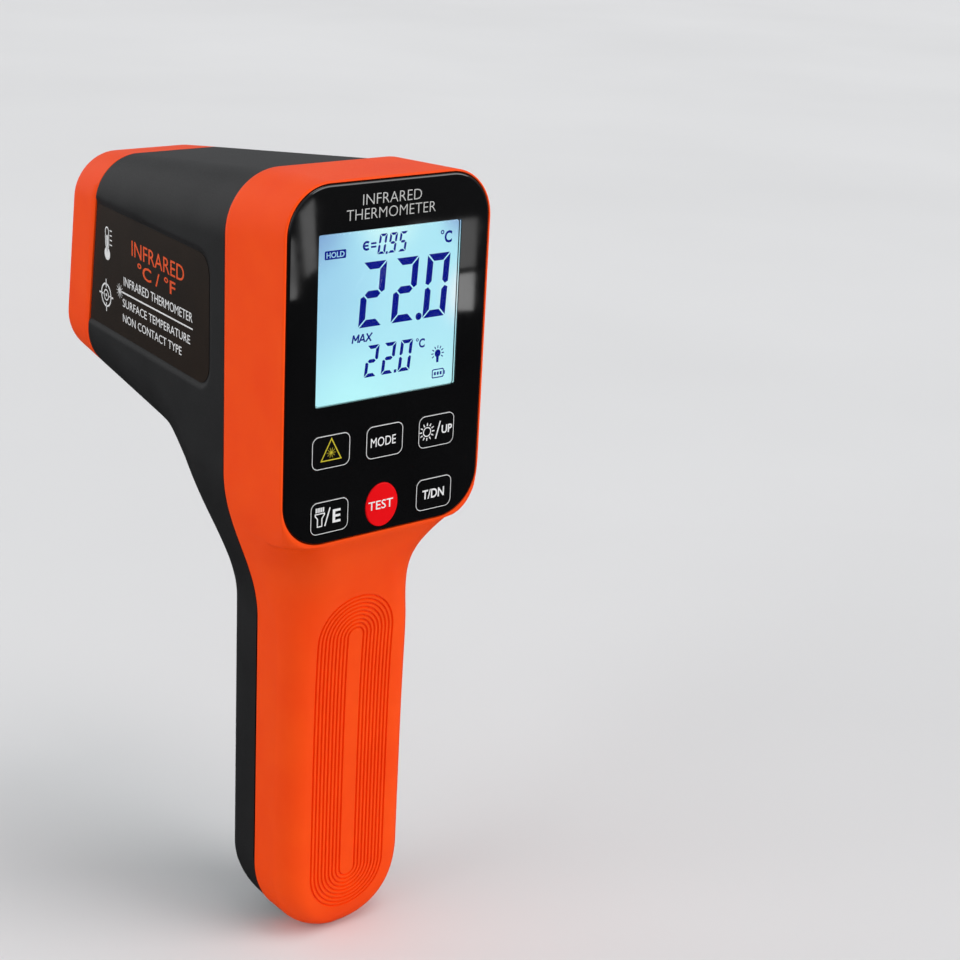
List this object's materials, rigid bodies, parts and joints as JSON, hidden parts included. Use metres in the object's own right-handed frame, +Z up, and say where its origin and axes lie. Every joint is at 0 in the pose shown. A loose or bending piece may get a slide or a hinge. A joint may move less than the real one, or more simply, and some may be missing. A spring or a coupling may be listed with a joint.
{
  "type": "infrared thermometer",
  "caption": "Pistol-grip infrared thermometer with a backlit display and keys at the rear, a tapered barrel with a recessed lens, a trigger and a battery door in the handle.",
  "frame": {"origin": "middle of the tool's own box in plan, at the lowest point of the handle", "axes": "+Z up along the handle; +Y forward, the way the nose points; +X to the right of a user who reads the display"},
  "size_m": [0.058, 0.1172, 0.1972],
  "materials": {
    "orange_plastic": "satin moulded plastic",
    "black_plastic": "soft-touch matt plastic",
    "gloss_black": "polished",
    "red_plastic": "satin",
    "label_film": "printed film",
    "clear_plastic": "clear",
    "lcd_glass": "backlit",
    "white_plastic": "diffusing",
    "rubber": "matt",
    "circuit_board": "solder mask",
    "chip_black": "moulded",
    "steel": "plain",
    "brass": "turned",
    "aluminium": "turned",
    "battery_jacket": "printed jacket",
    "wire_red": "insulation",
    "wire_black": "insulation"
  },
  "bodies": {
    "housing": {"rear_shell": "orange_plastic", "front_shell": "black_plastic", "nose_ring": "orange_plastic", "nose_plate": "black_plastic", "lens_tube": "black_plastic", "ir_lens": "clear_plastic", "lens_retainer": "aluminium", "sensor_can": "steel", "sensor_board": "circuit_board", "laser_module_upper": "brass", "laser_window_upper": "clear_plastic", "laser_module_lower": "brass", "laser_window_lower": "clear_plastic", "torch_led": "white_plastic", "torch_reflector": "aluminium", "torch_window": "clear_plastic", "display_panel": "gloss_black", "display_window": "clear_plastic", "lcd_cell": "lcd_glass", "lcd_backlight": "white_plastic", "lcd_frame": "black_plastic", "key_mat": "rubber", "main_board": "circuit_board", "processor_chip": "chip_black", "buzzer": "chip_black", "trigger_pin": "steel", "trigger_switch": "chip_black", "trigger_spring": "steel", "battery": "battery_jacket", "battery_snap": "rubber", "battery_lead_red": "wire_red", "battery_lead_black": "wire_black", "door_pin": "steel", "head_screw_left": "steel", "head_screw_right": "steel", "handle_screw_upper": "steel", "handle_screw_lower": "steel", "side_label_left": "label_film", "side_label_right": "label_film"},
    "trigger": {"trigger": "black_plastic"},
    "battery_door": {"battery_door": "black_plastic"},
    "laser_key": {"laser_key": "gloss_black"},
    "mode_key": {"mode_key": "gloss_black"},
    "up_key": {"up_key": "gloss_black"},
    "torch_key": {"torch_key": "gloss_black"},
    "test_key": {"test_key": "red_plastic"},
    "down_key": {"down_key": "gloss_black"}
  },
  "joints": [
    {"name": "trigger_pull", "type": "hinge", "parent": "housing", "child": "trigger", "pos_m": [0, -0.00767, 0.12349], "axis": [-1, 0, 0], "range_deg": [0, 8], "stiffness_Nm_per_rad": 0.35},
    {"name": "battery_door_swing", "type": "hinge", "parent": "housing", "child": "battery_door", "pos_m": [0, -0.02087, 0.01699], "axis": [-1, 0, 0], "range_deg": [0, 75]},
    {"name": "laser_key_press", "type": "slide", "parent": "housing", "child": "laser_key", "axis": [0, 1, 0], "range_m": [0, 0.0006], "stiffness_N_per_m": 2000},
    {"name": "mode_key_press", "type": "slide", "parent": "housing", "child": "mode_key", "axis": [0, 1, 0], "range_m": [0, 0.0006], "stiffness_N_per_m": 2000},
    {"name": "up_key_press", "type": "slide", "parent": "housing", "child": "up_key", "axis": [0, 1, 0], "range_m": [0, 0.0006], "stiffness_N_per_m": 2000},
    {"name": "torch_key_press", "type": "slide", "parent": "housing", "child": "torch_key", "axis": [0, 1, 0], "range_m": [0, 0.0006], "stiffness_N_per_m": 2000},
    {"name": "test_key_press", "type": "slide", "parent": "housing", "child": "test_key", "axis": [0, 1, 0], "range_m": [0, 0.0006], "stiffness_N_per_m": 2000},
    {"name": "down_key_press", "type": "slide", "parent": "housing", "child": "down_key", "axis": [0, 1, 0], "range_m": [0, 0.0006], "stiffness_N_per_m": 2000}
  ]
}
